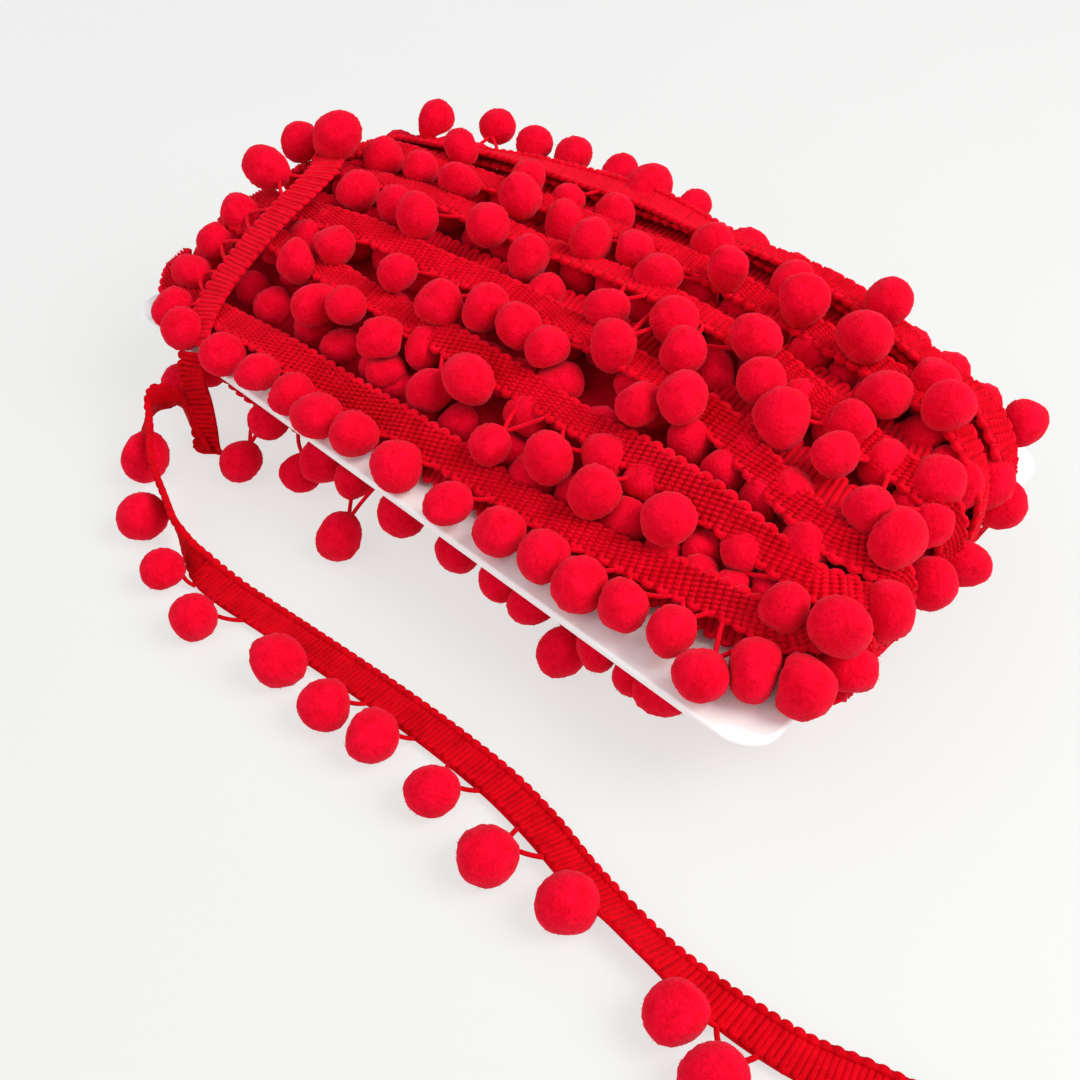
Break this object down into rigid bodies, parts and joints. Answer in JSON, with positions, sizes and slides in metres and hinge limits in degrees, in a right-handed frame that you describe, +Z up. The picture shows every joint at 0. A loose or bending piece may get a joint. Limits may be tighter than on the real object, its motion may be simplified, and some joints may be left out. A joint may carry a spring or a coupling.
{
  "type": "roll of pompom trim",
  "caption": "Red pompom trim, a braid with small felt balls along one edge, wound lengthwise round a flat white card with its loose end lying in front.",
  "frame": {"origin": "on the surface that the roll rests on, under the middle of the wound trim", "axes": "+X along the card's long side, +Y across it and away from the loose end, +Z up out of the surface"},
  "size_m": [0.2505, 0.1602, 0.0558],
  "materials": {
    "card": "smooth white sheet with a soft sheen",
    "trim": "red ribbed braid and short-pile pompoms"
  },
  "bodies": {
    "root": {"card": "card", "winding": "trim", "tail": "trim"}
  },
  "joints": []
}
